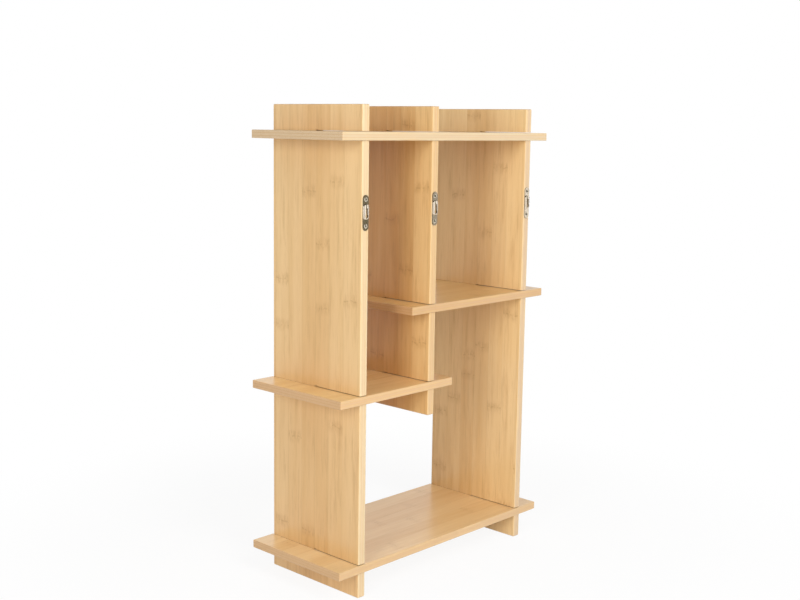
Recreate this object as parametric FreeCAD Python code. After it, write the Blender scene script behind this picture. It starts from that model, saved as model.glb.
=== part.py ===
import FreeCAD, Part
import math
import os
from collections import namedtuple

# A plant stand of bamboo boards that slide together without glue. Three upright panels are
# slotted from their front edges and four shelves from their back edges, so that each pair
# laps halfway, and every panel carries a keyhole hanger on its front edge.
# Lengths are in millimetres. X runs along the shelves to the right, Y from the hangers to the
# back, and Z up. The origin is on the floor, in the middle of the whole stand.

# Boards
PANEL_THICKNESS = 13.5
SHELF_THICKNESS = 12.0
SHELF_DEPTH = 189.0
SHELF_LIP = 2.0  # how far a shelf stands out past the panels, at the front and at the back
PANEL_EDGE_RADIUS = 1.5
SHELF_EDGE_RADIUS = 1.0

# Widths, from left to right
SHELF_OVERHANG = 39.0  # from the last panel that holds a shelf to the shelf's free end
LEFT_BAY_WIDTH = 128.5
RIGHT_BAY_WIDTH = 206.0

# Heights, from the floor up
FOOT_HEIGHT = 37.0
LOWER_BAY_HEIGHT = 235.0
STAGGER_HEIGHT = 104.0  # from the lower left shelf up to the upper right one
UPPER_BAY_HEIGHT = 239.0
CROWN_HEIGHT = 37.0
CENTRE_PANEL_TAIL = 39.0  # how far the centre panel hangs below the lower left shelf

# Halved joints
LAP_SHARE = 0.5  # share of the panels' depth that their slots take
SLOT_HEIGHT_CLEARANCE = 0.8  # above a shelf in a panel's slot
SLOT_WIDTH_CLEARANCE = 0.4  # both sides of a panel in a shelf's slot, together
SLOT_END_CLEARANCE = 0.3
CUTTER_RADIUS = 3.0  # of the router bit that clears the slots' inner corners

# Keyhole hangers
HANGER_SHEET = 1.0
HANGER_WIDTH = 11.0
HANGER_UPPER_TAB = 12.5
HANGER_DOME = 21.0  # the raised middle, with its slopes
HANGER_LOWER_TAB = 15.5
HANGER_DROP = 73.5  # from the top shelf's underside to a hanger's upper end
DOME_RISE = 1.8  # room behind the dome for the head of a wall screw
DOME_RUN = 1.0  # how far the dome's slopes lean in over that rise
DOME_FLANGE = 0.2  # from the dome's foot to the hanger's long sides
DOME_CORNER_RADIUS = 3.6  # at its foot
DOME_CREST_RADIUS = 0.5
ENTRY_RADIUS = 2.9  # of the hole that the wall screw's head goes in by
ENTRY_MARGIN = 0.8  # from the lower slope to that hole
NECK_WIDTH = 3.4  # of the slot that the wall screw's shank slides up
NECK_MARGIN = 4.2  # from that slot to the upper slope

# Screws that hold the hangers
SCREW_RADIUS = 1.6
SCREW_LENGTH = 16.0
SCREW_TIP = 3.0
SCREW_END_DISTANCE = 6.2  # from a hanger's end to the screw's axis
HEAD_RADIUS = 3.1
HEAD_DOME = 0.8
SCREW_CLEARANCE = 0.05
PILOT_END_ROOM = 0.5
RECESS_SPAN = 3.8
RECESS_ROOT_SPAN = 1.4
RECESS_WIDTH = 0.8
RECESS_DEPTH = 1.3
RECESS_TURN = 25.0  # degrees by which each screw has stopped past the one before

# One overrun for every cut that goes through a face
OVERRUN = 1.0

# Sizes of the whole stand
HANGER_LENGTH = HANGER_UPPER_TAB + HANGER_DOME + HANGER_LOWER_TAB
HANGER_REACH = HANGER_SHEET + DOME_RISE
STAND_WIDTH = 2 * SHELF_OVERHANG + 3 * PANEL_THICKNESS + LEFT_BAY_WIDTH + RIGHT_BAY_WIDTH
STAND_DEPTH = SHELF_DEPTH - SHELF_LIP + HANGER_REACH

# Depths in the stand
SHELF_BACK_Y = STAND_DEPTH / 2
SHELF_FRONT_Y = SHELF_BACK_Y - SHELF_DEPTH
PANEL_BACK_Y = SHELF_BACK_Y - SHELF_LIP
PANEL_FRONT_Y = SHELF_FRONT_Y + SHELF_LIP
LAP_Y = PANEL_FRONT_Y + (PANEL_BACK_Y - PANEL_FRONT_Y) * LAP_SHARE

# Undersides of the shelves
BOTTOM_SHELF_Z = FOOT_HEIGHT
LOWER_LEFT_SHELF_Z = BOTTOM_SHELF_Z + SHELF_THICKNESS + LOWER_BAY_HEIGHT
UPPER_RIGHT_SHELF_Z = LOWER_LEFT_SHELF_Z + SHELF_THICKNESS + STAGGER_HEIGHT
TOP_SHELF_Z = UPPER_RIGHT_SHELF_Z + SHELF_THICKNESS + UPPER_BAY_HEIGHT
STAND_HEIGHT = TOP_SHELF_Z + SHELF_THICKNESS + CROWN_HEIGHT

# Left faces of the panels, and the free ends of the shelves
STAND_LEFT_X = -STAND_WIDTH / 2
STAND_RIGHT_X = STAND_WIDTH / 2
LEFT_PANEL_X = STAND_LEFT_X + SHELF_OVERHANG
CENTRE_PANEL_X = LEFT_PANEL_X + PANEL_THICKNESS + LEFT_BAY_WIDTH
RIGHT_PANEL_X = CENTRE_PANEL_X + PANEL_THICKNESS + RIGHT_BAY_WIDTH
LOWER_LEFT_SHELF_END_X = CENTRE_PANEL_X + PANEL_THICKNESS + SHELF_OVERHANG
UPPER_RIGHT_SHELF_END_X = CENTRE_PANEL_X - SHELF_OVERHANG

Panel = namedtuple("Panel", "left bottom top")
Shelf = namedtuple("Shelf", "left right underside")

PANELS = {
    "left_panel": Panel(LEFT_PANEL_X, 0, STAND_HEIGHT),
    "centre_panel": Panel(CENTRE_PANEL_X, LOWER_LEFT_SHELF_Z - CENTRE_PANEL_TAIL, STAND_HEIGHT),
    "right_panel": Panel(RIGHT_PANEL_X, 0, STAND_HEIGHT),
}

SHELVES = {
    "bottom_shelf": Shelf(STAND_LEFT_X, STAND_RIGHT_X, BOTTOM_SHELF_Z),
    "lower_left_shelf": Shelf(STAND_LEFT_X, LOWER_LEFT_SHELF_END_X, LOWER_LEFT_SHELF_Z),
    "upper_right_shelf": Shelf(UPPER_RIGHT_SHELF_END_X, STAND_RIGHT_X, UPPER_RIGHT_SHELF_Z),
    "top_shelf": Shelf(STAND_LEFT_X, STAND_RIGHT_X, TOP_SHELF_Z),
}

# The centre of a cutter that just reaches a slot's corner lies this far in from both walls
CORNER_INSET = CUTTER_RADIUS / math.sqrt(2)

ALONG_X = FreeCAD.Vector(1, 0, 0)
TO_THE_BACK = FreeCAD.Vector(0, 1, 0)
UP = FreeCAD.Vector(0, 0, 1)


def block(low, high):
    """A box between its lowest and its highest corner."""
    size = high - low
    return Part.makeBox(size.x, size.y, size.z, low)


def crosses(panel, shelf):
    """Whether a shelf runs through a panel."""
    passes_both_faces = shelf.left < panel.left and panel.left + PANEL_THICKNESS < shelf.right
    within_its_height = panel.bottom < shelf.underside and shelf.underside < panel.top
    return passes_both_faces and within_its_height


def panel_slot(panel, shelf):
    """The slot that a shelf slides into, open at a panel's front edge."""
    slot_end = LAP_Y + SLOT_END_CLEARANCE
    slot_top = shelf.underside + SHELF_THICKNESS + SLOT_HEIGHT_CLEARANCE
    low = FreeCAD.Vector(panel.left - OVERRUN, PANEL_FRONT_Y - OVERRUN, shelf.underside)
    high = FreeCAD.Vector(panel.left + PANEL_THICKNESS + OVERRUN, slot_end, slot_top)
    slot = block(low, high)
    for height in (shelf.underside + CORNER_INSET, slot_top - CORNER_INSET):
        start = FreeCAD.Vector(low.x, slot_end - CORNER_INSET, height)
        slot = slot.fuse(Part.makeCylinder(CUTTER_RADIUS, high.x - low.x, start, ALONG_X))
    return slot


def shelf_slot(panel, shelf):
    """The slot that lets a panel pass, open at a shelf's back edge."""
    slot_left = panel.left - SLOT_WIDTH_CLEARANCE / 2
    slot_right = panel.left + PANEL_THICKNESS + SLOT_WIDTH_CLEARANCE / 2
    shelf_top = shelf.underside + SHELF_THICKNESS
    low = FreeCAD.Vector(slot_left, LAP_Y, shelf.underside - OVERRUN)
    high = FreeCAD.Vector(slot_right, SHELF_BACK_Y + OVERRUN, shelf_top + OVERRUN)
    slot = block(low, high)
    for place in (slot_left + CORNER_INSET, slot_right - CORNER_INSET):
        start = FreeCAD.Vector(place, LAP_Y + CORNER_INSET, low.z)
        slot = slot.fuse(Part.makeCylinder(CUTTER_RADIUS, high.z - low.z, start, UP))
    return slot


def panel_board(panel):
    """An upright board with eased edges, slotted from the front for each shelf it holds."""
    low = FreeCAD.Vector(panel.left, PANEL_FRONT_Y, panel.bottom)
    high = FreeCAD.Vector(panel.left + PANEL_THICKNESS, PANEL_BACK_Y, panel.top)
    blank = block(low, high)
    board = blank.makeFillet(PANEL_EDGE_RADIUS, blank.Edges)
    for shelf in SHELVES.values():
        if crosses(panel, shelf):
            board = board.cut(panel_slot(panel, shelf))
    return board


def shelf_board(shelf):
    """A level board with eased edges, slotted from the back for each panel it runs through."""
    low = FreeCAD.Vector(shelf.left, SHELF_FRONT_Y, shelf.underside)
    high = FreeCAD.Vector(shelf.right, SHELF_BACK_Y, shelf.underside + SHELF_THICKNESS)
    blank = block(low, high)
    board = blank.makeFillet(SHELF_EDGE_RADIUS, blank.Edges)
    for panel in PANELS.values():
        if crosses(panel, shelf):
            board = board.cut(shelf_slot(panel, shelf))
    return board


def closed_outline(points):
    """The straight sides that join a row of points and lead back to the first."""
    return tuple(zip(points, points[1:] + points[:1]))


def turned(outline, middle, height):
    """A solid turned about a line square to the panels' front edges.

    Its outline is a row of straight sides and arcs, each given by two or three points, and
    a point by its radius and its distance in front of the panels' edges.
    """
    def place(radius, distance):
        return FreeCAD.Vector(middle + radius, PANEL_FRONT_Y - distance, height)

    edges = []
    for side in outline:
        points = [place(*pair) for pair in side]
        if len(points) == 2:
            edges.append(Part.makeLine(*points))
        else:
            edges.append(Part.Arc(*points).toShape())
    face = Part.Face(Part.Wire(edges))
    return face.revolve(place(0, 0), TO_THE_BACK, 360)


def dome_outline(middle, height, inset, distance):
    """The dome's outline, drawn in from its foot all round, and in front of the panels' edges."""
    half_width = HANGER_WIDTH / 2 - DOME_FLANGE - inset
    half_height = HANGER_DOME / 2 - inset
    corner_radius = DOME_CORNER_RADIUS - inset
    side_end = half_height - corner_radius
    top_end = half_width - corner_radius
    bulge = corner_radius * math.sin(math.pi / 4)

    def place(x, z):
        return FreeCAD.Vector(middle + x, PANEL_FRONT_Y - distance, height + z)

    def corner(x_sign, z_sign):
        side = place(x_sign * half_width, z_sign * side_end)
        crown = place(x_sign * (top_end + bulge), z_sign * (side_end + bulge))
        top = place(x_sign * top_end, z_sign * half_height)
        return Part.Arc(side, crown, top).toShape()

    def side_line(x_sign):
        x = x_sign * half_width
        return Part.makeLine(place(x, -side_end), place(x, side_end))

    def end_line(z_sign):
        z = z_sign * half_height
        return Part.makeLine(place(-top_end, z), place(top_end, z))

    return Part.Wire([
        side_line(1), corner(1, 1), end_line(1), corner(-1, 1),
        side_line(-1), corner(-1, -1), end_line(-1), corner(1, -1),
    ])


def dome_core(middle, height, inset, low, high):
    """A solid with the dome's sloping sides, between two distances in front of the edges.

    Its sides are drawn in from the dome's outer ones by an inset.
    """
    lean = DOME_RUN / DOME_RISE
    outlines = [
        dome_outline(middle, height, inset + lean * (distance - HANGER_SHEET), distance)
        for distance in (low, high)
    ]
    return Part.makeLoft(outlines, True, True)


def hanger_plate(middle, lower_end):
    """A round-ended steel plate with a pressed-out keyhole and two countersunk screw holes."""
    end_radius = HANGER_WIDTH / 2
    face = PANEL_FRONT_Y - HANGER_SHEET
    upper_end = lower_end + HANGER_LENGTH
    outline_low = FreeCAD.Vector(middle - end_radius, face, lower_end + end_radius)
    outline_high = FreeCAD.Vector(middle + end_radius, PANEL_FRONT_Y, upper_end - end_radius)
    plate = block(outline_low, outline_high)
    for height in (outline_low.z, outline_high.z):
        centre = FreeCAD.Vector(middle, face, height)
        plate = plate.fuse(Part.makeCylinder(end_radius, HANGER_SHEET, centre, TO_THE_BACK))

    dome_height = lower_end + HANGER_LOWER_TAB + HANGER_DOME / 2
    wall = HANGER_SHEET * math.hypot(DOME_RUN, DOME_RISE) / DOME_RISE
    outside = dome_core(middle, dome_height, 0, HANGER_SHEET, HANGER_REACH)
    crest = PANEL_FRONT_Y - HANGER_REACH
    slope_root = crest + DOME_CREST_RADIUS
    crest_edges = [edge for edge in outside.Edges if edge.BoundBox.YMax < slope_root]
    outside = outside.makeFillet(DOME_CREST_RADIUS, crest_edges)
    plate = plate.fuse(outside).removeSplitter()
    plate = plate.cut(dome_core(middle, dome_height, wall, -OVERRUN, DOME_RISE))

    front = crest - OVERRUN
    through = PANEL_FRONT_Y + OVERRUN - front
    lower_crest = lower_end + HANGER_LOWER_TAB + DOME_RUN
    entry_height = lower_crest + ENTRY_MARGIN + ENTRY_RADIUS
    upper_crest = lower_end + HANGER_LOWER_TAB + HANGER_DOME - DOME_RUN
    neck_height = upper_crest - NECK_MARGIN - NECK_WIDTH / 2
    entry = FreeCAD.Vector(middle, front, entry_height)
    neck = FreeCAD.Vector(middle, front, neck_height)
    neck_low = FreeCAD.Vector(middle - NECK_WIDTH / 2, front, entry_height)
    neck_high = FreeCAD.Vector(middle + NECK_WIDTH / 2, front + through, neck_height)
    plate = plate.cut(Part.makeCylinder(ENTRY_RADIUS, through, entry, TO_THE_BACK))
    plate = plate.cut(Part.makeCylinder(NECK_WIDTH / 2, through, neck, TO_THE_BACK))
    plate = plate.cut(block(neck_low, neck_high))
    for height in screw_heights(lower_end).values():
        plate = plate.cut(screw_room(middle, height))
    return plate


def screw_heights(lower_end):
    """The heights of a hanger's two screws, by their names."""
    upper = lower_end + HANGER_LENGTH - SCREW_END_DISTANCE
    return {"lower_screw": lower_end + SCREW_END_DISTANCE, "upper_screw": upper}


def screw_room(middle, height):
    """The hole for a screw, countersunk in a hanger and blind in the panel behind it."""
    hole_radius = SCREW_RADIUS + SCREW_CLEARANCE
    seat_radius = HEAD_RADIUS + SCREW_CLEARANCE
    seat_root = HANGER_SHEET - (seat_radius - hole_radius)
    hole_end = HANGER_SHEET - SCREW_LENGTH - PILOT_END_ROOM
    mouth = HANGER_SHEET + OVERRUN
    points = (
        (0, hole_end),
        (hole_radius, hole_end),
        (hole_radius, seat_root),
        (seat_radius, HANGER_SHEET),
        (seat_radius, mouth),
        (0, mouth),
    )
    return turned(closed_outline(points), middle, height)


def hanger_screw(middle, height, turn):
    """An oval-headed wood screw with a cross recess, through a hanger into a panel's edge."""
    head_root = HANGER_SHEET - (HEAD_RADIUS - SCREW_RADIUS)
    point = HANGER_SHEET - SCREW_LENGTH
    crown = HANGER_SHEET + HEAD_DOME
    dome_radius = (HEAD_RADIUS ** 2 + HEAD_DOME ** 2) / (2 * HEAD_DOME)
    half_angle = math.asin(HEAD_RADIUS / dome_radius) / 2
    dome_centre = crown - dome_radius
    dome_middle = dome_centre + dome_radius * math.cos(half_angle)
    outline = (
        ((0, point), (SCREW_RADIUS, point + SCREW_TIP)),
        ((SCREW_RADIUS, point + SCREW_TIP), (SCREW_RADIUS, head_root)),
        ((SCREW_RADIUS, head_root), (HEAD_RADIUS, HANGER_SHEET)),
        ((HEAD_RADIUS, HANGER_SHEET), (dome_radius * math.sin(half_angle), dome_middle), (0, crown)),
        ((0, crown), (0, point)),
    )
    body = turned(outline, middle, height)
    return body.cut(cross_recess(middle, height, crown, turn))


def cross_recess(middle, height, crown, turn):
    """Two crossed slots in a screw's head, narrowing to their root."""
    surface = PANEL_FRONT_Y - crown
    axis_point = FreeCAD.Vector(middle, surface, height)
    wide = RECESS_SPAN / 2
    narrow = RECESS_WIDTH / 2
    cross = block(
        axis_point - FreeCAD.Vector(wide, OVERRUN, narrow),
        axis_point + FreeCAD.Vector(wide, RECESS_DEPTH, narrow),
    ).fuse(block(
        axis_point - FreeCAD.Vector(narrow, OVERRUN, wide),
        axis_point + FreeCAD.Vector(narrow, RECESS_DEPTH, wide),
    ))
    taper = Part.makeCone(wide, RECESS_ROOT_SPAN / 2, RECESS_DEPTH, axis_point, TO_THE_BACK)
    mouth = FreeCAD.Vector(middle, surface - OVERRUN, height)
    taper = taper.fuse(Part.makeCylinder(wide, OVERRUN, mouth, TO_THE_BACK))
    recess = cross.common(taper)
    recess.rotate(axis_point, TO_THE_BACK, turn)
    return recess


pieces = {name: panel_board(panel) for name, panel in PANELS.items()}
pieces.update({name: shelf_board(shelf) for name, shelf in SHELVES.items()})

turn = 0
hanger_lower_end = TOP_SHELF_Z - HANGER_DROP - HANGER_LENGTH
for panel_name, panel in PANELS.items():
    side = panel_name.replace("_panel", "")
    panel_middle = panel.left + PANEL_THICKNESS / 2
    pieces[side + "_hanger_plate"] = hanger_plate(panel_middle, hanger_lower_end)
    for screw_name, screw_height in screw_heights(hanger_lower_end).items():
        hole = screw_room(panel_middle, screw_height)
        pieces[panel_name] = pieces[panel_name].cut(hole)
        screw = hanger_screw(panel_middle, screw_height, turn)
        pieces[side + "_hanger_" + screw_name] = screw
        turn = turn + RECESS_TURN

os.makedirs("parts", exist_ok=True)
for name, piece in pieces.items():
    piece.exportStep(os.path.join("parts", name + ".step"))
    box = piece.BoundBox
    print(f"{name}: {len(piece.Solids)} solid, {piece.Volume / 1000:.2f} cm3, "
          f"{box.XLength:.2f} x {box.YLength:.2f} x {box.ZLength:.2f} mm")
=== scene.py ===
import math

import bpy
from mathutils import Matrix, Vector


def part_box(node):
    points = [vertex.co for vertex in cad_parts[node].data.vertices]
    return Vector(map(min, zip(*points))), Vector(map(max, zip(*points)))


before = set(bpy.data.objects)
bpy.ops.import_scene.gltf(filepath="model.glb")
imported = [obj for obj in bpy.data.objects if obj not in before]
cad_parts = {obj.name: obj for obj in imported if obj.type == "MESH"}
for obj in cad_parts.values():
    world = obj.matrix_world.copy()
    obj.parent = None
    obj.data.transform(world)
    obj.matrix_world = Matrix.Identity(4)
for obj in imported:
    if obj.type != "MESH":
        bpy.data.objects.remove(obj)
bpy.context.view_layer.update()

# The three upright panels. Each is a 13.5 mm board of pressed bamboo: strips 29 mm wide, cut
# from many canes and glued side by side in three plies, sanded flat, eased along its edges,
# slotted from the front and finished with a clear satin lacquer. Their solids are the CAD's.

MILLIMETRES = 1000.0  # in a metre; a finish has its lengths in these, unless it says metres
STRIP_WIDTH = 29.0
STRIP_COUNT = 8  # six whole strips on a face, and a sliver along each edge
PLY_COUNT = 3
GLUE_LINE = 0.25
EASED_EDGE = (1.3, 0.2)  # a face turns into an edge between these distances from it
SAWN_END = (1.0, 0.2)
CORE_BLUR = 0.2
PLY_LINE = (0.1, 0.6)  # it fades out between these distances from the line

KNUCKLE_ROOM = 3  # the most knuckles that a strip may have
KNUCKLE_REACH = 1000.0  # a knuckle's place is given as a share of this length
NO_KNUCKLE = KNUCKLE_REACH / 2  # a place beyond the end of every board
KNUCKLE_WAVER = 12.0
KNUCKLE_HAZE = (3.0, 13.0)  # it fades out between these distances from the knuckle
KNUCKLE_DASHES = (3.0, 11.0)
KNUCKLE_LINE = (0.3, 1.8)

# The grains of the noises: how long they are along the board, across it and through it
WAVER_GRAIN = (60, 16, 16)
BLOT_GRAIN = (16, 6, 6)
FLECK_GRAIN = (9, 1.5, 1.5)
GAP_GRAIN = (60, 5, 5)
BROAD_GRAIN = (180, 14, 14)
BUNDLE_GRAIN = (70, 13, 13)
STREAK_GRAIN = (85, 5, 5)
FIBRE_GRAIN = (20, 0.6, 0.6)
PORE_GRAIN = (1.2, 0.9, 0.9)
PLY_SEED, STRIP_SEED = 5.3, 7.7  # what a ply and a strip add to the board's own seed

# Where each noise begins to show, and where it shows fully, in its values from 0 to 1
BLOT_LEVELS = (0.34, 0.62)
FLECK_LEVELS = (0.52, 0.70)
GAP_LEVELS = (0.42, 0.58)
BUNDLE_LEVELS = (0.40, 0.66)
STREAK_LEVELS = (0.44, 0.74)
EDGE_STREAK_LEVELS = (0.42, 0.72)
FIBRE_LEVELS = (0.50, 0.78)
PORE_LEVELS = (0.45, 0.70)
OPEN_LEVELS = (0.25, 0.72)  # of how open to the light a place is
GLOSS_LEVELS = (0.30, 0.80)

# How strongly each mark shows, from 0 to 1
HAZE_SHARE = 0.30
DASH_SHARE = 0.28
LINE_SHARE = 0.30
STREAK_SHARE = 0.56
FIBRE_SHARE = 0.42
GLUE_SHARE = 0.40
EDGE_STREAK_SHARE = 0.75
CORE_SHARE = 0.45
PLY_LINE_SHARE = 0.50
PORE_SHARE = 0.50
# the next is for the painted shade in the joints
JOINT_SHADE_SHARE = 0.75
FAINT_BUNDLE = 0.35

# How far the broad areas and a strip's darkness turn pale bamboo, 0, into honey, 1
BROAD_SWING, STRIP_SWING, PALE_BIAS = 1.3, 0.9, -0.6

PALE_BAMBOO = (0.795, 0.540, 0.280)
HONEY_BAMBOO = (0.700, 0.430, 0.188)
FIBRE_BROWN = (0.500, 0.270, 0.100)
KNUCKLE_BROWN = (0.380, 0.170, 0.045)
EDGE_CREAM = (0.720, 0.540, 0.320)
CORE_PINK = (0.700, 0.490, 0.300)
END_GRAIN = (0.620, 0.435, 0.245)
# the colour of the painted shade in the joints
JOINT_SHADE_BROWN = (0.130, 0.055, 0.015, 1)
GLUE_SHADE = (0.760, 0.760, 0.760, 1)  # the share of the colour that a glue line leaves
JOINT_REACH = 0.0015  # how far from a joint its shade begins, in metres

RELIEF_DEPTH = 0.0001  # in metres
RELIEF_STRENGTH = 0.12
STREAK_RELIEF, FIBRE_RELIEF, GLUE_RELIEF = 0.50, 0.35, -0.60
LACQUER_SMOOTH, LACQUER_ROUGH = 0.36, 0.42
LACQUER_COAT, LACQUER_BLUR = 0.45, 0.20


class Finish:
    """A material, or the room's light, laid down one node at a time."""

    def __init__(self, name, kind="materials"):
        self.owner = getattr(bpy.data, kind).new(name)
        self.owner.use_nodes = True
        self.tree = self.owner.node_tree
        self.tree.nodes.clear()

    def node(self, kind, inputs, **settings):
        """A node whose inputs are given as numbers to set or sockets to join."""
        made = self.tree.nodes.new("ShaderNode" + kind)
        for setting, value in settings.items():
            setattr(made, setting, value)
        for key, value in inputs.items():
            if isinstance(value, bpy.types.NodeSocket):
                self.tree.links.new(value, made.inputs[key])
            else:
                made.inputs[key].default_value = value
        return made

    def math(self, operation, first, second=0.0):
        return self.node("Math", {0: first, 1: second}, operation=operation).outputs[0]

    def sum(self, first, second):
        return self.math("ADD", first, second)

    def product(self, first, second):
        return self.math("MULTIPLY", first, second)

    def scaled(self, value, factor, offset):
        """value x factor + offset"""
        inputs = {0: value, 1: factor, 2: offset}
        return self.node("Math", inputs, operation="MULTIPLY_ADD").outputs[0]

    def step(self, value, low, high, start=0.0, end=1.0):
        """A smooth step from start, where value is under low, to end, where it is over high."""
        inputs = {"Value": value, 1: low, 2: high, 3: start, 4: end}
        return self.node("MapRange", inputs, interpolation_type="SMOOTHSTEP").outputs[0]

    def tint(self, share, first, second):
        """The first colour, with a share of the second laid over it."""
        inputs = {0: share, 6: first, 7: second}
        return self.node("Mix", inputs, data_type="RGBA").outputs[2]

    def filtered(self, share, colour, filter_colour):
        """A colour multiplied by another one, where share is 1."""
        inputs = {0: share, 6: colour, 7: filter_colour}
        return self.node("Mix", inputs, data_type="RGBA", blend_type="MULTIPLY").outputs[2]

    def noise(self, place, grain, shift, detail=2.0, roughness=0.5):
        """Noise whose grains are so long in x, y and z, at a place moved by a shift."""
        inputs = {0: place, 1: tuple(1 / length for length in grain), 2: shift}
        moved = self.node("VectorMath", inputs, operation="MULTIPLY_ADD").outputs[0]
        inputs = {"Vector": moved, "Scale": 1.0, "Detail": detail, "Roughness": roughness}
        return self.node("TexNoise", inputs).outputs[0]

    def done(self, **inputs):
        """Ends the material in a shader with these inputs."""
        shader = self.node("BsdfPrincipled", {})
        for key, value in inputs.items():
            socket = shader.inputs[key.replace("_", " ")]
            if isinstance(value, bpy.types.NodeSocket):
                self.tree.links.new(value, socket)
            else:
                socket.default_value = value
        self.node("OutputMaterial", {"Surface": shader.outputs[0]})
        return self.owner


def middle_of(node_name):
    """A node's middle, and half its size."""
    low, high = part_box(node_name)
    return (low + high) / 2 * MILLIMETRES, (high - low) / 2 * MILLIMETRES


def dress(node_name, material):
    """Gives a CAD node its finish."""
    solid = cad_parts[node_name]
    solid.data.materials.clear()
    solid.data.materials.append(material)


def toned(colour, tone):
    """A colour of bamboo, as one board has it."""
    return [part * share for part, share in zip(colour, tone)] + [1]


def bamboo(node_name, strips, upright, seed, figure, tone, edge_tone,
           painted_shade_contrast=(1.0, 1.0, 1.0), painted_light_drift=(0.0, 0.0, 0.0)):
    """Finishes one board.

    strips has a row for each strip, from the board's back edge to its front one: how dark it
    is from 0 to 1, and where its knuckles are, along the board from its middle. figure is how
    strongly its fibres and knuckles show. The tones are how light the board's faces and edges
    are in red, green and blue. contrast is how much paler its pale strips are, and its dark
    ones deeper, than those colours give: painted shade which, with a table of strips that runs
    dark at the back, deepens the shade at the back of the bays. drift is how much paler its
    faces are at its upper or right end, and darker at the other one: painted light, as if a lamp
    lit that end more.
    """
    pale = toned(PALE_BAMBOO, [share * change for share, change in zip(tone, painted_shade_contrast)])
    honey = toned(HONEY_BAMBOO, [share / change for share, change in zip(tone, painted_shade_contrast)])
    fibre, knuckle_brown = toned(FIBRE_BROWN, tone), toned(KNUCKLE_BROWN, tone)
    edge_cream, end_grain = toned(EDGE_CREAM, edge_tone), toned(END_GRAIN, edge_tone)
    core_pink = toned(CORE_PINK, edge_tone)
    finish = Finish("lacquered_bamboo_of_" + node_name)
    middle, half = middle_of(node_name)
    half_length, half_thickness = (half.z, half.x) if upright else (half.x, half.z)
    half_width = half.y
    ply_thickness = 2 * half_thickness / PLY_COUNT

    # The board's own place: along its strips, across them towards the back, and through it
    turn = (0, math.pi / 2, 0) if upright else (0, 0, 0)
    shift = (-middle.z, -middle.y, middle.x) if upright else tuple(-middle)
    place = finish.node("Mapping", {
        "Vector": finish.node("TexCoord", {}).outputs["Object"],
        "Location": shift,
        "Rotation": turn,
        "Scale": (MILLIMETRES,) * 3,
    }).outputs[0]
    along, across, through = finish.node("SeparateXYZ", {0: place}).outputs

    # The far face has the same kind of strips in another order
    face = finish.math("SIGN", through)
    face_along = finish.product(along, face)
    strip_place = finish.scaled(finish.product(across, face), -1 / STRIP_WIDTH, STRIP_COUNT / 2)
    strip = finish.math("FLOOR", strip_place)
    strip_share = finish.scaled(strip, 1 / STRIP_COUNT, 0.5 / STRIP_COUNT)
    table = finish.node("ValToRGB", {0: strip_share})
    ramp = table.color_ramp
    ramp.interpolation = "CONSTANT"
    while len(ramp.elements) < len(strips):
        ramp.elements.new(1.0)
    for number, (darkness, *knuckles) in enumerate(strips):
        knuckles += [NO_KNUCKLE] * (KNUCKLE_ROOM - len(knuckles))
        ramp.elements[number].position = number / STRIP_COUNT
        ramp.elements[number].color = [k / KNUCKLE_REACH + 0.5 for k in knuckles] + [darkness]
    darkness = table.outputs["Alpha"]
    knuckle_places = finish.node("SeparateColor", {0: table.outputs["Color"]}).outputs

    # Every strip of every ply has its own fibres
    outer_ply = (PLY_COUNT - 1) / 2
    ply = finish.product(through, 1 / ply_thickness)
    ply = finish.node("Clamp", {0: ply, 1: -outer_ply, 2: outer_ply}).outputs[0]
    ply = finish.math("ROUND", ply)
    strip_seed = finish.scaled(ply, PLY_SEED, finish.scaled(strip, STRIP_SEED, seed))
    fibre_shift = finish.node("CombineXYZ", {0: strip_seed, 1: strip_seed, 2: 0.0}).outputs[0]

    # Knuckles: a blotchy haze of dark fibres across a strip, with dashes and a broken thin line
    waver = finish.noise(place, WAVER_GRAIN, fibre_shift, detail=3)
    waver = finish.scaled(waver, KNUCKLE_WAVER, -KNUCKLE_WAVER / 2)
    distance = None
    for knuckle in knuckle_places:
        here = finish.scaled(knuckle, -KNUCKLE_REACH, KNUCKLE_REACH / 2)
        here = finish.math("ABSOLUTE", finish.sum(finish.sum(here, face_along), waver))
        distance = here if distance is None else finish.math("MINIMUM", distance, here)
    blots = finish.noise(place, BLOT_GRAIN, fibre_shift, detail=3, roughness=0.6)
    flecks = finish.noise(place, FLECK_GRAIN, fibre_shift)
    gaps = finish.noise(place, GAP_GRAIN, fibre_shift)
    haze = finish.step(distance, *KNUCKLE_HAZE, 1, 0)
    haze = finish.product(haze, finish.step(blots, *BLOT_LEVELS))
    dashes = finish.step(distance, *KNUCKLE_DASHES, 1, 0)
    dashes = finish.product(dashes, finish.step(flecks, *FLECK_LEVELS))
    line = finish.step(distance, *KNUCKLE_LINE, 1, 0)
    line = finish.product(line, finish.step(gaps, *GAP_LEVELS))

    # Fibres: broad pale and dark areas, and bundles of long streaks and fine fibres
    broad = finish.noise(place, BROAD_GRAIN, fibre_shift)
    bundles = finish.noise(place, BUNDLE_GRAIN, fibre_shift)
    bundles = finish.step(bundles, *BUNDLE_LEVELS, FAINT_BUNDLE * figure, figure)
    streaks = finish.noise(place, STREAK_GRAIN, fibre_shift, detail=5, roughness=0.72)
    fine = finish.noise(place, FIBRE_GRAIN, fibre_shift)
    honey_share = finish.scaled(darkness, STRIP_SWING, PALE_BIAS)
    honey_share = finish.scaled(broad, BROAD_SWING, honey_share)
    streak_share = finish.step(streaks, *STREAK_LEVELS, 0, STREAK_SHARE)
    fibre_share = finish.step(fine, *FIBRE_LEVELS, 0, FIBRE_SHARE)
    colour = finish.tint(honey_share, pale, honey)
    colour = finish.tint(finish.product(bundles, streak_share), colour, fibre)
    colour = finish.tint(finish.product(bundles, fibre_share), colour, fibre)
    colour = finish.tint(finish.product(haze, HAZE_SHARE * figure), colour, fibre)
    colour = finish.tint(finish.product(dashes, DASH_SHARE * figure), colour, knuckle_brown)
    colour = finish.tint(finish.product(line, LINE_SHARE * figure), colour, knuckle_brown)
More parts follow.
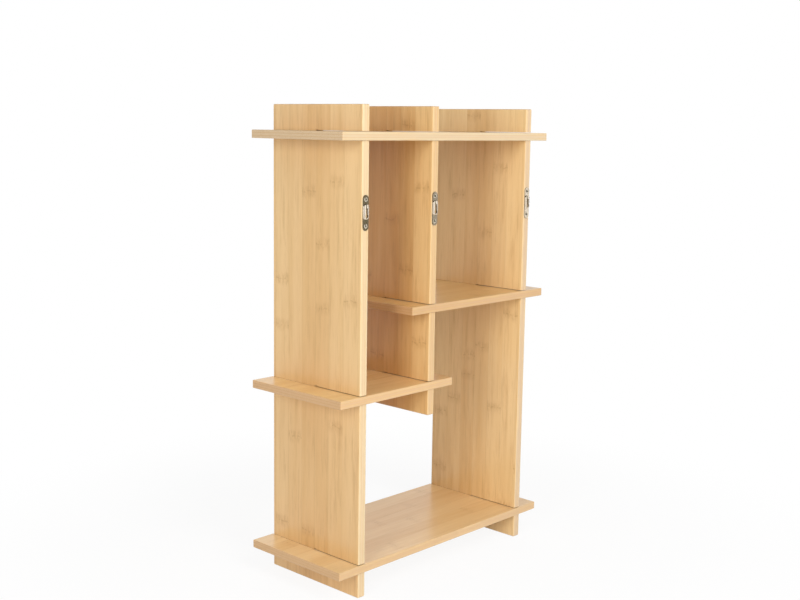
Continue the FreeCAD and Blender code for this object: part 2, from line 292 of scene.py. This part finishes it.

    # Glue lines between strips, and painted light from end to end: paler at one end, darker at
    # the other
    in_strip = finish.math("PINGPONG", strip_place, 0.5)
    joint = finish.step(in_strip, 0.0, 2 * GLUE_LINE / STRIP_WIDTH, 1, 0)
    colour = finish.filtered(finish.product(joint, GLUE_SHARE), colour, GLUE_SHADE)
    lower, upper = [1 - part for part in painted_light_drift] + [1], [1 + part for part in painted_light_drift] + [1]
    painted_light_tint = finish.tint(finish.scaled(along, 0.5 / half_length, 0.5), lower, upper)
    colour = finish.filtered(1.0, colour, painted_light_tint)

    # The long edges are paler, and show the three plies; the sawn ends are darker
    eased, edge_line = (half_width - distance_in for distance_in in EASED_EDGE)
    sawn, end_line = (half_length - distance_in for distance_in in SAWN_END)
    edge = finish.step(finish.math("ABSOLUTE", across), eased, edge_line)
    end = finish.step(finish.math("ABSOLUTE", along), sawn, end_line)
    off_core = finish.scaled(finish.math("ABSOLUTE", through), 1, -ply_thickness / 2)
    core = finish.step(off_core, -CORE_BLUR, CORE_BLUR, CORE_SHARE, 0)
    ply_line = finish.step(finish.math("ABSOLUTE", off_core), *PLY_LINE, PLY_LINE_SHARE, 0)
    edge_streaks = finish.step(streaks, *EDGE_STREAK_LEVELS, 0, EDGE_STREAK_SHARE)
    edge_colour = finish.tint(edge_streaks, edge_cream, pale)
    edge_colour = finish.tint(core, edge_colour, core_pink)
    edge_colour = finish.tint(ply_line, edge_colour, honey)
    colour = finish.tint(edge, colour, edge_colour)
    pores = finish.noise(place, PORE_GRAIN, fibre_shift)
    pores = finish.step(pores, *PORE_LEVELS, 0, PORE_SHARE)
    end_colour = finish.tint(pores, end_grain, fibre)
    end_colour = finish.tint(ply_line, end_colour, fibre)
    colour = finish.tint(end, colour, end_colour)

    # Painted shade in the joints: darker where ambient occlusion finds a place closed in
    openness = finish.node("AmbientOcclusion", {"Distance": JOINT_REACH}, samples=6)
    shade = finish.step(openness.outputs["AO"], *OPEN_LEVELS, JOINT_SHADE_SHARE, 0)
    colour = finish.tint(shade, colour, JOINT_SHADE_BROWN)

    height = finish.sum(finish.product(streaks, STREAK_RELIEF),
                        finish.product(fine, FIBRE_RELIEF))
    height = finish.sum(height, finish.product(joint, GLUE_RELIEF))
    relief = finish.node("Bump", {
        "Strength": RELIEF_STRENGTH, "Distance": RELIEF_DEPTH, "Height": height})
    dress(node_name, finish.done(
        Base_Color=colour,
        Roughness=finish.step(streaks, *GLOSS_LEVELS, LACQUER_SMOOTH, LACQUER_ROUGH),
        Normal=relief.outputs[0],
        Specular_IOR_Level=0.5,
        Coat_Weight=LACQUER_COAT,
        Coat_Roughness=LACQUER_BLUR,
    ))


LEFT_PANEL_STRIPS = [
    (0.5,),
    (0.1, 98, 27, -275),
    (0.4, -137),
    (0.8, 228, -275),
    (0.75, 62, 155),
    (0.3, 243, -106),
    (0.1, 78),
    (0.3,),
]
# The centre panel's strips run dark at the back and pale at the front: strips that differ in
# tone, laid out so that they also paint the shade at the back of its bays.
CENTRE_PANEL_STRIPS = [
    (0.6,),
    (0.7, 120, -90),
    (0.9, -30),
    (1.0, 190, -150),
    (0.9, 60),
    (0.5, -12, 200),
    (0.0, 110, -120),
    (0.0,),
]
# The right panel's back strips are a little darker: their own tone, and painted shade at the
# back of its bays.
RIGHT_PANEL_STRIPS = [
    (0.6,),
    (0.45, -165, -263),
    (0.4, -137, 210),
    (0.8, -58, -91, 340),
    (0.7, -40, 150),
    (0.3, 257, -138),
    (0.1, 20, -300),
    (0.2, -235),
]
bamboo("left_panel", LEFT_PANEL_STRIPS, upright=True, seed=11.0, figure=1.0,
       tone=(1.04, 1.04, 0.97), edge_tone=(1.165, 1.23, 1.3), painted_light_drift=(0.02, 0.045, 0.07))
# its contrast is painted shade: it deepens the dark back strips and pales the front ones
bamboo("centre_panel", CENTRE_PANEL_STRIPS, upright=True, seed=37.0, figure=1.0,
       tone=(1.013, 0.955, 0.785), edge_tone=(1.08, 1.01, 0.925), painted_shade_contrast=(1.035, 1.09, 1.18))
bamboo("right_panel", RIGHT_PANEL_STRIPS, upright=True, seed=53.0, figure=1.0,
       tone=(1.14, 1.2, 1.17), edge_tone=(1.03, 1.02, 1.1))

# The four shelves. They are boards of the same bamboo with their strips running from side
# to side, slotted from the back, and they slide into the panels' slots from the front.

BOTTOM_SHELF_STRIPS = [
    (0.4,),
    (0.3, -120, 130),
    (0.7, 60, -200),
    (0.5, -40, 190),
    (0.2, 14, -160),
    (0.6, 110),
    (0.3, -90, 170),
    (0.2,),
]
LOWER_LEFT_SHELF_STRIPS = [
    (0.4,),
    (0.2, -20),
    (0.6, 70),
    (0.4, -80),
    (0.8, 20),
    (0.3, -50),
    (0.5, 90),
    (0.3,),
]
UPPER_RIGHT_SHELF_STRIPS = [
    (0.3,),
    (0.5, 40, -120),
    (0.2, 120),
    (0.7, -60),
    (0.5, 90),
    (0.3, -100, 60),
    (0.6, 10),
    (0.2,),
]
TOP_SHELF_STRIPS = [
    (0.2,),
    (0.6, -150, 80),
    (0.3, 160, -60),
    (0.5, 10),
    (0.8, -110, 140),
    (0.2, 50, -190),
    (0.4, -20, 200),
    (0.3,),
]
bamboo("bottom_shelf", BOTTOM_SHELF_STRIPS, upright=False, seed=71.0, figure=0.6,
       tone=(1.09, 1.13, 1.13), edge_tone=(1.06, 0.955, 0.85), painted_light_drift=(-0.01, -0.04, -0.08))
bamboo("lower_left_shelf", LOWER_LEFT_SHELF_STRIPS, upright=False, seed=89.0, figure=0.6,
       tone=(1.08, 1.07, 0.96), edge_tone=(1.06, 0.95, 0.86), painted_light_drift=(-0.07, -0.11, -0.13))
bamboo("upper_right_shelf", UPPER_RIGHT_SHELF_STRIPS, upright=False, seed=103.0, figure=0.6,
       tone=(0.97, 0.95, 0.79), edge_tone=(0.99, 0.855, 0.765))
bamboo("top_shelf", TOP_SHELF_STRIPS, upright=False, seed=127.0, figure=0.6,
       tone=(1.0, 1.0, 0.96), edge_tone=(1.07, 1.135, 1.24))

# The three keyhole hangers. Each is a strip of 1 mm steel with round ends, pressed up in the
# middle into a low dome that the keyhole is cut through, nickel plated, and screwed on to a
# panel's front edge. The press leaves the dome's flat top slightly crowned.

CLOUD_GRAIN = (3, 3, 3)
SCRATCH_GRAIN = (0.2, 0.2, 2.5)
PLATING_DEPTH = 0.010  # of its clouds and its scratches
PLATING_ROUNDING = 0.00025  # of its edges, in metres
DULL_LEVELS, DULL_SHARES = (0.38, 0.74), (0.25, 0.75)  # where its clouds are dull
ROUGH_LEVELS = (0.30, 0.75)
CUT_EDGE_LEVELS = (0.2, 0.4)  # of how squarely a surface faces the front
CUT_EDGE_SHARE = 0.85
# Painted shade in the hollows and corners of the plates and screws, where ambient occlusion
# finds them closed in
HOLLOW_SHADE_LEVELS = (0.2, 0.8)  # of how open to the light a place is
HOLLOW_SHADE_SHARE = 0.9
HOLLOW_SHADE_REACH = 0.0025  # how far from a corner its painted shade begins, in metres

PLATE_NICKEL = (0.98, 0.86, 0.70, 1)
PLATE_DULL = (0.46, 0.38, 0.27, 1)
# the next is the colour of the cut edges, and of the painted shade in the hollows
PLATE_DARK = (0.09, 0.07, 0.045, 1)
DOME_CROWN = 0.1
CROWN_FADE = 0.4  # the crown is gone at this depth under the dome's top
DOME_PAINTED_SHINE = (0.3, 1.6)  # its painted highlight gives way to the dull clouds between these depths under the dome's top


def plated(node_name, face, dull, dark, smooth, rough, seed, crown=0.0):
    """Plates a steel piece: cloudy, finely scratched, dark on its cut edges, and with painted
    shade in its hollows and corners.

    A piece with a dome gets a painted highlight on it, where the dull clouds fade out, and is
    crowned by so many millimetres at 1 mm off its axis.
    """
    finish = Finish("plating_of_" + node_name)
    middle, half = middle_of(node_name)
    surface = finish.node("TexCoord", {})
    place = finish.node("Mapping", {
        "Vector": surface.outputs["Object"],
        "Location": tuple(-middle),
        "Scale": (MILLIMETRES,) * 3,
    }).outputs[0]
    sideways, outwards, _ = finish.node("SeparateXYZ", {0: place}).outputs
    shift = (seed, seed, seed)
    cloud = finish.noise(place, CLOUD_GRAIN, shift, detail=4, roughness=0.6)
    scratches = finish.noise(place, SCRATCH_GRAIN, shift, detail=3)

    frontal = finish.node("SeparateXYZ", {0: surface.outputs["Normal"]}).outputs["Y"]
    frontal = finish.math("ABSOLUTE", frontal)
    cut_edge = finish.step(frontal, *CUT_EDGE_LEVELS, CUT_EDGE_SHARE, 0)
    # painted shade in the hollows and corners
    openness = finish.node("AmbientOcclusion", {"Distance": HOLLOW_SHADE_REACH}, samples=8)
    painted_hollow_shade = finish.step(openness.outputs["AO"], *HOLLOW_SHADE_LEVELS, HOLLOW_SHADE_SHARE, 0)
    height = finish.sum(finish.product(scratches, PLATING_DEPTH),
                        finish.product(cloud, PLATING_DEPTH))
    dull_clouds_and_painted_shine = finish.step(cloud, *DULL_LEVELS, *DULL_SHARES)
    if crown:
        # Painted highlight: the dome's top keeps the bright plating colour, without dull clouds
        top = -half.y
        painted_shine_full, painted_shine_gone = (top + depth for depth in DOME_PAINTED_SHINE)
        dull_clouds_and_painted_shine = finish.product(dull_clouds_and_painted_shine, finish.step(outwards, painted_shine_full, painted_shine_gone))
        raised = finish.step(outwards, top, top + CROWN_FADE, 1, 0)
        bow = finish.product(finish.product(sideways, sideways), -crown)
        height = finish.sum(height, finish.product(bow, raised))
    colour = finish.tint(dull_clouds_and_painted_shine, face, dull)
    colour = finish.tint(cut_edge, colour, dark)
    colour = finish.tint(painted_hollow_shade, colour, dark)
    rounded = finish.node("Bevel", {"Radius": PLATING_ROUNDING}, samples=4).outputs[0]
    relief = finish.node("Bump", {
        "Strength": 1.0, "Distance": 1 / MILLIMETRES, "Height": height, "Normal": rounded})
    dress(node_name, finish.done(
        Base_Color=colour,
        Metallic=1.0,
        Roughness=finish.step(cloud, *ROUGH_LEVELS, smooth, rough),
        Normal=relief.outputs[0],
    ))


for side, seed in (("left", 5.0), ("centre", 8.0), ("right", 13.0)):
    plated(side + "_hanger_plate", PLATE_NICKEL, PLATE_DULL, PLATE_DARK,
           smooth=0.14, rough=0.26, seed=seed, crown=DOME_CROWN)

# The six screws that hold the hangers to the panels' edges, two in each. They are zinc plated
# steel, and their oval heads with a cross recess sit in the plates' countersunk holes.

SCREW_ZINC = (0.92, 0.84, 0.70, 1)
SCREW_DULL = (0.40, 0.34, 0.24, 1)
# the next is the colour of the screws' cut edges, and of the painted shade in their recesses
SCREW_DARK = (0.05, 0.04, 0.03, 1)
for side, seed in (("left", 19.0), ("centre", 29.0), ("right", 31.0)):
    for end in ("upper", "lower"):
        plated(f"{side}_hanger_{end}_screw", SCREW_ZINC, SCREW_DULL, SCREW_DARK,
               smooth=0.18, rough=0.30, seed=seed)

# The plain pale floor that the stand is photographed on. The camera sees it as white, with
# the stand's soft shadow, and it throws a little cream light back on the boards.

FLOOR_REACH = 6.0
FLOOR_DROP = 0.0004  # keeps it clear of the panels' feet
FLOOR_CREAM = (0.80, 0.76, 0.66, 1)  # in the light that it throws back
FLOOR_WHITE = (1.0, 1.0, 1.0, 1)  # to the camera and in reflections
SHADOW_REACH = 0.35  # from the middle of the floor, in metres
FADE_REACH = 0.85
PURE_SHARE = 0.90  # of plain white in what the camera sees under the stand


def sheet(name, corners, material):
    """One flat face of one material."""
    mesh = bpy.data.meshes.new(name)
    mesh.from_pydata(corners, [], [(0, 1, 2, 3)])
    mesh.materials.append(material)
    made = bpy.data.objects.new(name, mesh)
    bpy.context.scene.collection.objects.link(made)
    return made


def seen_share(finish):
    """1 in what the camera sees, straight, in a reflection or through something clear, and 0 in
    the light on things.
    """
    rays = finish.node("LightPath", {}).outputs
    seen = finish.math("MAXIMUM", rays["Is Camera Ray"], rays["Is Glossy Ray"])
    return finish.math("MAXIMUM", seen, rays["Is Transmission Ray"])


white = Finish("white_floor")
seen = seen_share(white)
spot = white.node("TexCoord", {}).outputs["Object"]
away = white.node("VectorMath", {0: spot}, operation="LENGTH").outputs["Value"]
lit = white.node("BsdfDiffuse", {"Color": white.tint(seen, FLOOR_CREAM, FLOOR_WHITE)})
pure = white.node("Emission", {"Color": FLOOR_WHITE, "Strength": 1.0})
pure_share = white.step(away, SHADOW_REACH, FADE_REACH, PURE_SHARE, 1.0)
shaded = white.node("MixShader", {
    0: white.product(seen, pure_share), 1: lit.outputs[0], 2: pure.outputs[0]})
white.node("OutputMaterial", {"Surface": shaded.outputs[0]})
floor_corners = [(FLOOR_REACH * x, FLOOR_REACH * y, -FLOOR_DROP)
                 for x, y in ((-1, -1), (1, -1), (1, 1), (-1, 1))]
floor = sheet("floor", floor_corners, white.owner)

# The light: a white room, a large lamp to the left, a larger one in front and a weak one
# behind. A black flag overhead and a dim screen in front of the right end show only in
# reflections, where they give the bright plates their dark parts.

ROOM_LIGHT = 0.35
ROOM_WHITE = 1.0
FLAG_HEIGHT = 2.2
FLAG_REACH = 2.2
FLAG_BLACK = (0.02, 0.02, 0.02, 1)
SCREEN_LEFT, SCREEN_RIGHT = (0.10, -1.60), (1.19, -1.13)  # where its foot stands
SCREEN_HEIGHT = 1.3
SCREEN_GREY = (0.18, 0.165, 0.11, 1)
LAMP_AIM = (0.0, 0.0, 0.35)  # the middle of the stand
LAMP_DISTANCE = 2.6

room = Finish("white_room", "worlds")
level = room.node("MapRange", {
    "Value": seen_share(room), "To Min": ROOM_LIGHT, "To Max": ROOM_WHITE})
backdrop = room.node("Background", {"Color": (1, 1, 1, 1), "Strength": level.outputs[0]})
room.node("OutputWorld", {"Surface": backdrop.outputs[0]})
bpy.context.scene.world = room.owner


def only_in_reflections(made):
    """Hides a sheet from the camera and the light, so that only reflections show it."""
    made.visible_camera = made.visible_diffuse = made.visible_shadow = False
    made.visible_transmission = made.visible_volume_scatter = False


def lamp(name, azimuth, elevation, width, height, watts):
    """A lamp that faces the middle of the stand, from the front at azimuth 0 and from the left
    at azimuth 90. Reflections don't show it.
    """
    data = bpy.data.lights.new(name, "AREA")
    data.shape = "RECTANGLE"
    data.size, data.size_y = width, height
    data.energy = watts
    made = bpy.data.objects.new(name, data)
    a, e = math.radians(azimuth), math.radians(elevation)
    towards = (-math.sin(a) * math.cos(e), -math.cos(a) * math.cos(e), math.sin(e))
    made.location = [aim + LAMP_DISTANCE * part for aim, part in zip(LAMP_AIM, towards)]
    made.rotation_euler = (math.pi / 2 - e, 0, -a)
    made.visible_glossy = False
    bpy.context.scene.collection.objects.link(made)


cloth = Finish("black_cloth")
felt = cloth.node("BsdfDiffuse", {"Color": FLAG_BLACK})
cloth.node("OutputMaterial", {"Surface": felt.outputs[0]})
flag_corners = [(FLAG_REACH * x, FLAG_REACH * y, FLAG_HEIGHT)
                for x, y in ((-1, -1), (-1, 1), (1, 1), (1, -1))]
flag = sheet("black_flag", flag_corners, cloth.owner)
only_in_reflections(flag)

dim = Finish("dim_end_of_the_room")
glow = dim.node("Emission", {"Color": SCREEN_GREY, "Strength": 1.0})
dim.node("OutputMaterial", {"Surface": glow.outputs[0]})
screen_corners = [(*SCREEN_LEFT, 0.0), (*SCREEN_RIGHT, 0.0),
                  (*SCREEN_RIGHT, SCREEN_HEIGHT), (*SCREEN_LEFT, SCREEN_HEIGHT)]
corner = sheet("dark_corner", screen_corners, dim.owner)
only_in_reflections(corner)

lamp("left_lamp", azimuth=72, elevation=15, width=0.7, height=1.4, watts=24)
lamp("front_lamp", azimuth=14, elevation=30, width=0.9, height=2.0, watts=45)
lamp("back_lamp", azimuth=215, elevation=14, width=0.9, height=1.4, watts=10)

# The camera, at the photograph's viewing angle: in front of the stand and to its left, about
# level with its top shelf, and looking slightly down.

CAMERA_PLACE = (-1.29873, -1.21344, 0.67313)
CAMERA_YAW = math.radians(46.694)  # from straight ahead towards the right
CAMERA_PITCH = math.radians(8.614)  # downwards
CAMERA_ROLL = math.radians(0.872)
CAMERA_LENS = 52.108
CAMERA_SENSOR = 36.0
CAMERA_NEAR, CAMERA_FAR = 0.05, 50.0

camera_data = bpy.data.cameras.new("camera")
camera_data.sensor_fit = "HORIZONTAL"
camera_data.sensor_width = CAMERA_SENSOR
camera_data.lens = CAMERA_LENS
camera_data.clip_start, camera_data.clip_end = CAMERA_NEAR, CAMERA_FAR
camera = bpy.data.objects.new("camera", camera_data)
camera.matrix_world = (
    Matrix.Translation(CAMERA_PLACE)
    @ Matrix.Rotation(-CAMERA_YAW, 4, "Z")
    @ Matrix.Rotation(math.pi / 2 - CAMERA_PITCH, 4, "X")
    @ Matrix.Rotation(CAMERA_ROLL, 4, "Z")
)
bpy.context.scene.collection.objects.link(camera)
bpy.context.scene.camera = camera
bpy.context.scene.view_settings.view_transform = "Standard"
